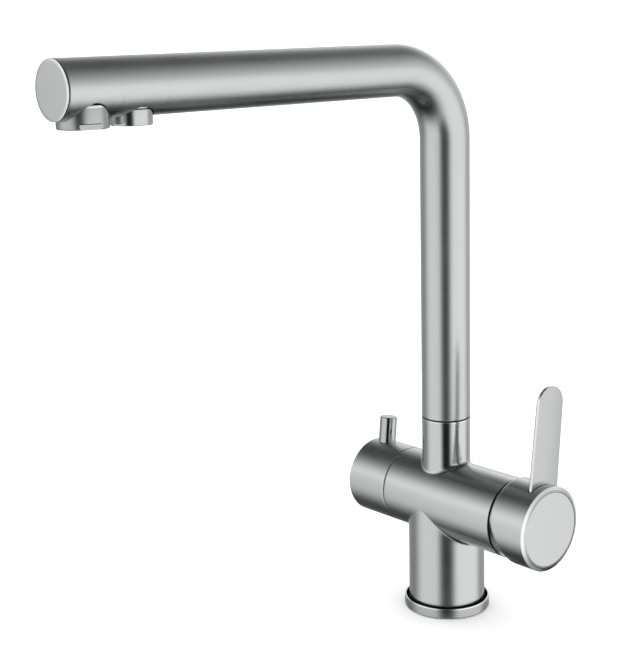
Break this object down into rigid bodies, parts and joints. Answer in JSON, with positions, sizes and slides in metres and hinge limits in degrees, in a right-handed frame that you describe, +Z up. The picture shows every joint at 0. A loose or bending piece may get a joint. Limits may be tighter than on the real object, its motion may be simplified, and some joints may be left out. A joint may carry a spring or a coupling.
{
  "type": "three-way filter tap",
  "caption": "Kitchen tap with an L-shaped swivel spout, a mixing lever on one side, a filtered-water handle on the other and separate outlets under the spout's end.",
  "frame": {"origin": "mouth of the fixing stud's hole, in the deck plane under the column", "axes": "+Z up along the column and spout swivel, -Y along the spout's level run, +X towards the mixer handle"},
  "size_m": [0.1385, 0.275, 0.33],
  "materials": {
    "satin_steel": "satin brushed stainless steel",
    "polished_steel": "polished stainless steel",
    "screw_steel": "turned steel",
    "brass": "turned brass",
    "seal_rubber": "moulded rubber",
    "slide_plastic": "moulded acetal",
    "pale_plastic": "moulded plastic",
    "ceramic": "lapped alumina"
  },
  "bodies": {
    "tap_body": {"tap_body": "satin_steel", "swivel_neck": "satin_steel", "inlet_block": "brass", "base_ring": "satin_steel", "base_seal": "seal_rubber", "swivel_washer": "slide_plastic", "spout_stop_screw": "screw_steel", "riser_seal": "seal_rubber", "cartridge_base": "pale_plastic", "cartridge_seals": "seal_rubber", "cartridge_shell": "pale_plastic", "fixed_disc": "ceramic", "cartridge_nut": "brass", "nut_dome": "satin_steel", "valve_body": "brass", "valve_seat_seal": "seal_rubber", "valve_fixed_disc": "ceramic", "spindle_seal": "seal_rubber"},
    "spout": {"spout_tube": "satin_steel", "spout_sleeve": "brass", "swivel_seals": "seal_rubber", "spout_end_cap": "satin_steel", "filtered_riser": "pale_plastic", "aerator_housing": "satin_steel", "aerator_insert": "pale_plastic", "aerator_seal": "seal_rubber", "nozzle_boss": "brass", "filtered_nozzle": "satin_steel", "nozzle_insert": "pale_plastic"},
    "mixer_carrier": {"stem_carrier": "pale_plastic", "pivot_pin": "screw_steel"},
    "mixer_handle": {"cartridge_stem": "brass", "mixer_handle": "satin_steel", "mixer_lever": "satin_steel", "mixer_end_disc": "satin_steel", "mixer_grub_screw": "screw_steel"},
    "sliding_disc": {"sliding_disc": "ceramic"},
    "filter_handle": {"filter_handle": "satin_steel", "filter_pin": "polished_steel", "filter_grub_screw": "screw_steel", "valve_spindle": "brass", "valve_moving_disc": "ceramic"}
  },
  "joints": [
    {"name": "spout_swivel", "type": "hinge", "parent": "tap_body", "child": "spout", "pos_m": [0, 0, 0.116], "axis": [0, 0, 1], "continuous": true},
    {"name": "mixer_turn", "type": "hinge", "parent": "tap_body", "child": "mixer_carrier", "pos_m": [0.05, 0, 0.0665], "axis": [1, 0, 0], "range_deg": [-39, 51]},
    {"name": "mixer_lift", "type": "hinge", "parent": "mixer_carrier", "child": "mixer_handle", "pos_m": [0.03698, 0, 0.0665], "axis": [0, 0.9945, -0.1045], "range_deg": [0, 20]},
    {"name": "disc_slide", "type": "slide", "parent": "mixer_carrier", "child": "sliding_disc", "axis": [0, 0.1045, 0.9945], "range_m": [0, 0.0029]},
    {"name": "filter_turn", "type": "hinge", "parent": "tap_body", "child": "filter_handle", "pos_m": [-0.045, 0, 0.0665], "axis": [1, 0, 0], "range_deg": [0, 90]}
  ],
  "couplings": [
    {"joint": "disc_slide", "follows": "mixer_lift", "m_per_rad": 0.0082}
  ]
}
